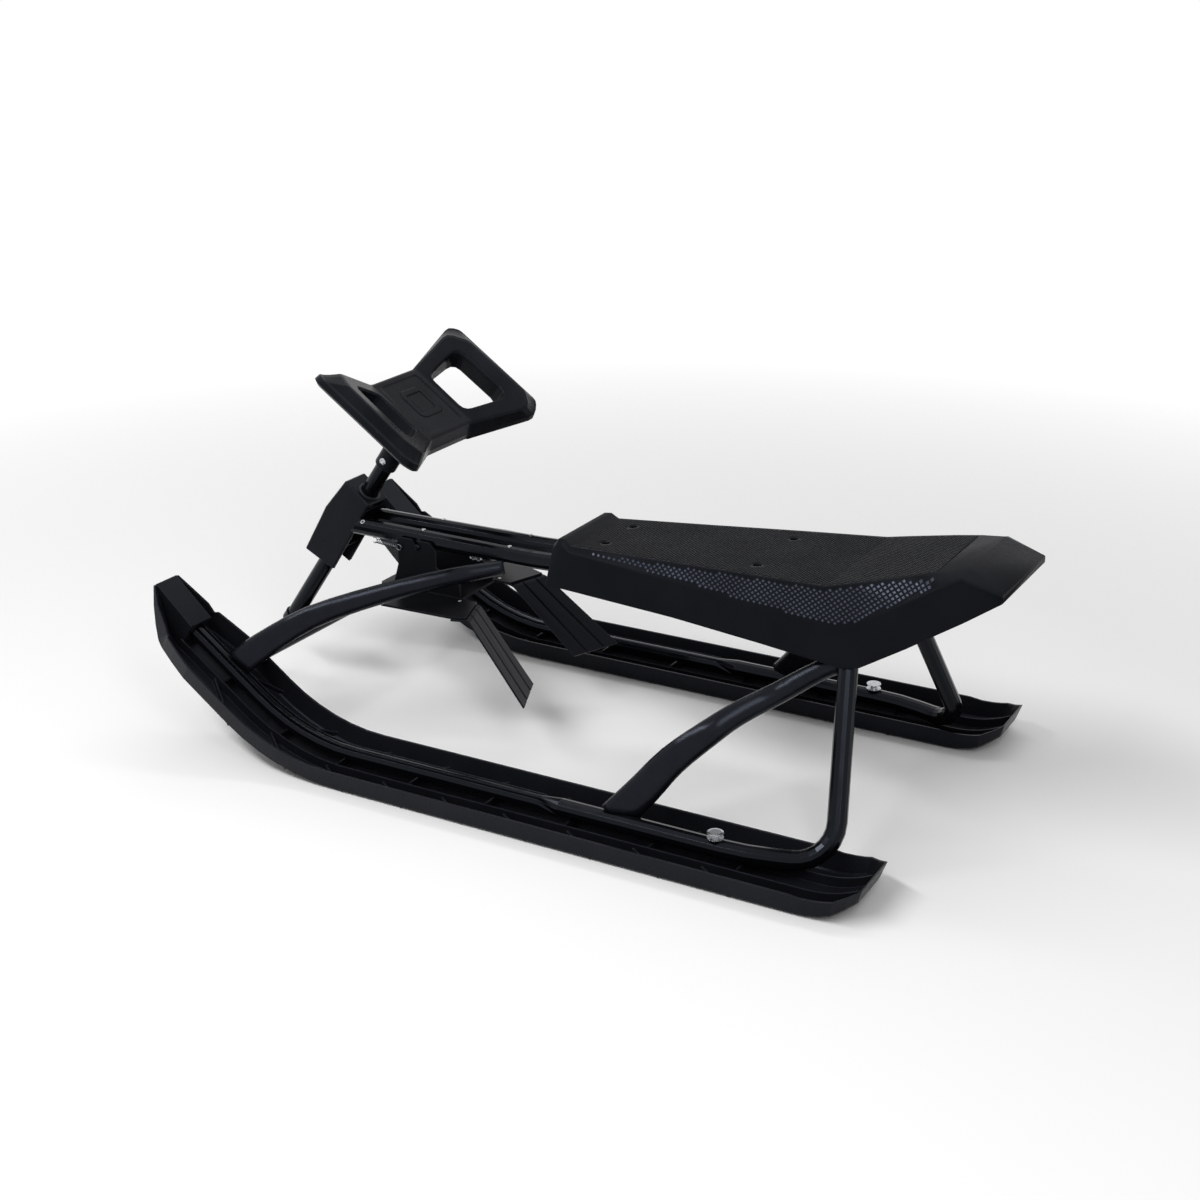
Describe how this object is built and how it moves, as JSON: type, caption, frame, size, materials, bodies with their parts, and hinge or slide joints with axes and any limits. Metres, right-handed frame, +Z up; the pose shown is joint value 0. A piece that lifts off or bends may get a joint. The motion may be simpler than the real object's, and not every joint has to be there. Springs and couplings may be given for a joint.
{
  "type": "steering sled",
  "caption": "Two-seater sled: two moulded skis on a bent steel tube frame, moulded seat, raked steering column with a hand plate, and a pedal brake with claws.",
  "frame": {"origin": "on the ground, under the middle of the overall length, in the mirror plane", "axes": "+X forward to the tips of the skis, +Y to the rider's left, +Z up"},
  "size_m": [1.1428, 0.644, 0.5196],
  "materials": {
    "moulded_plastic": "satin black",
    "seat_plastic": "black with a fine raised grain",
    "painted_steel": "glossy black",
    "painted_sheet": "satin black",
    "zinc_plated": "bright plated",
    "bush_nylon": "black"
  },
  "bodies": {
    "frame": {"beam_screw_1_left": "zinc_plated", "beam_screw_1_right": "zinc_plated", "beam_screw_2_left": "zinc_plated", "beam_screw_2_right": "zinc_plated", "brake_pin_left": "painted_steel", "brake_pin_right": "painted_steel", "cross_tube": "painted_steel", "front_strut_left": "painted_steel", "front_strut_right": "painted_steel", "head_bracket": "painted_sheet", "head_cover": "moulded_plastic", "lower_bush": "bush_nylon", "rear_strut_left": "painted_steel", "rear_strut_right": "painted_steel", "runner_bolt_left": "zinc_plated", "runner_bolt_right": "zinc_plated", "seat": "seat_plastic", "seat_bolt_1_left": "zinc_plated", "seat_bolt_1_right": "zinc_plated", "seat_bolt_2_left": "zinc_plated", "seat_bolt_2_right": "zinc_plated", "side_tube_left": "painted_steel", "side_tube_right": "painted_steel", "ski_left": "moulded_plastic", "ski_right": "moulded_plastic", "upper_bush": "bush_nylon"},
    "steering": {"column": "painted_steel", "handle": "moulded_plastic", "handle_rivet": "zinc_plated"},
    "brake": {"brake_plate": "painted_sheet", "brake_claw_left": "painted_sheet", "brake_claw_right": "painted_sheet"},
    "spring": {"brake_spring": "zinc_plated"}
  },
  "joints": [
    {"name": "steering_turn", "type": "hinge", "parent": "frame", "child": "steering", "pos_m": [0.36015, 0, 0.3611], "axis": [-0.5736, 0, 0.8192], "range_deg": [-35, 35]},
    {"name": "brake_press", "type": "hinge", "parent": "frame", "child": "brake", "pos_m": [0.28665, 0, 0.253], "axis": [0, -1, 0], "range_deg": [0, 32], "stiffness_Nm_per_rad": 3, "springref_deg": -51.57},
    {"name": "spring_swing", "type": "hinge", "parent": "frame", "child": "spring", "pos_m": [0.35715, 0.044, 0.251], "axis": [0, -1, 0], "range_deg": [-33, 0]}
  ],
  "couplings": [
    {"joint": "spring_swing", "follows": "brake_press", "ratio": -1.03}
  ]
}
